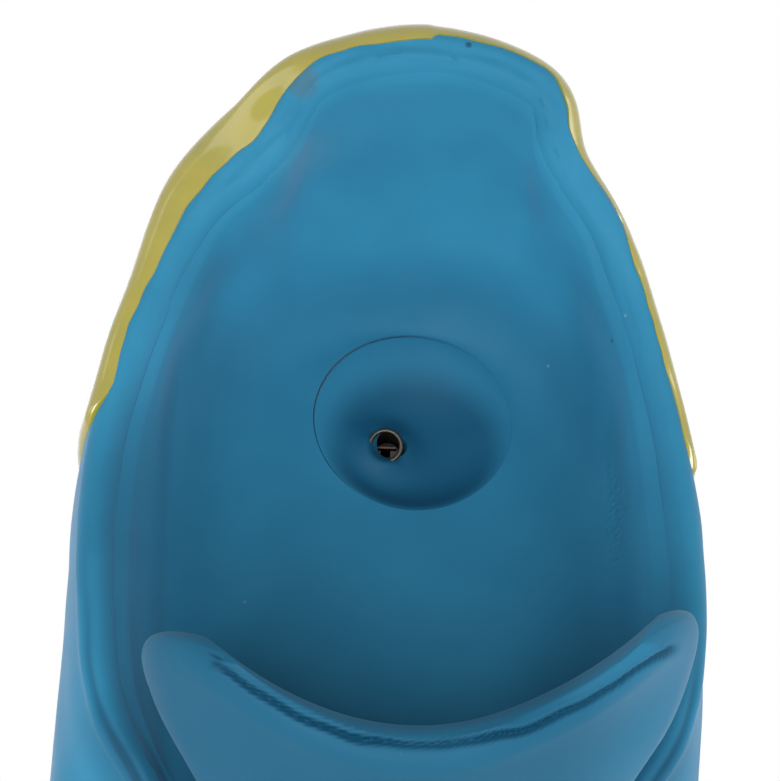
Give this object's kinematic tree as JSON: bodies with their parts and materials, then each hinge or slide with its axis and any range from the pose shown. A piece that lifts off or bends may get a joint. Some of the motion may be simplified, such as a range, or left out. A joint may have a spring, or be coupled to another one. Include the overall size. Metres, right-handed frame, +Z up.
{
  "type": "latex sneaker dog toy",
  "caption": "Hollow latex dog toy in the shape of a sneaker, with a closed shallow foot opening, padded tongue, glossy coats and a reed squeaker in the plugged pour hole.",
  "frame": {"origin": "on the floor under the middle of the part's box", "axes": "+Z up, +Y towards the heel, -Y towards the toe, +X to the right in the picture"},
  "size_m": [0.0705, 0.1574, 0.0883],
  "materials": {
    "blue_latex": "satin blue latex",
    "yellow_latex": "glossy yellow latex coat",
    "metal_tube": "drawn bright metal",
    "reed_plastic": "plain moulded plastic",
    "reed_metal": "thin rolled brass"
  },
  "bodies": {
    "toy": {"latex_body": "blue_latex", "heel_counter_coat": "yellow_latex", "toe_bumper_coat": "yellow_latex", "lace_row_1": "yellow_latex", "lace_row_2": "yellow_latex", "lace_row_3": "yellow_latex", "lace_row_4": "yellow_latex", "pour_hole_plug": "blue_latex", "squeaker_tube": "metal_tube", "reed_saddle": "reed_plastic", "reed_wedge": "reed_plastic"},
    "reed": {"squeaker_reed": "reed_metal"}
  },
  "joints": [
    {"name": "reed_flutter", "type": "hinge", "parent": "toy", "child": "reed", "pos_m": [0.00122, 0.03865, 0.04335], "axis": [0.9945, -0.0392, 0.0969], "range_deg": [-2, 2], "stiffness_Nm_per_rad": 0.0001}
  ]
}
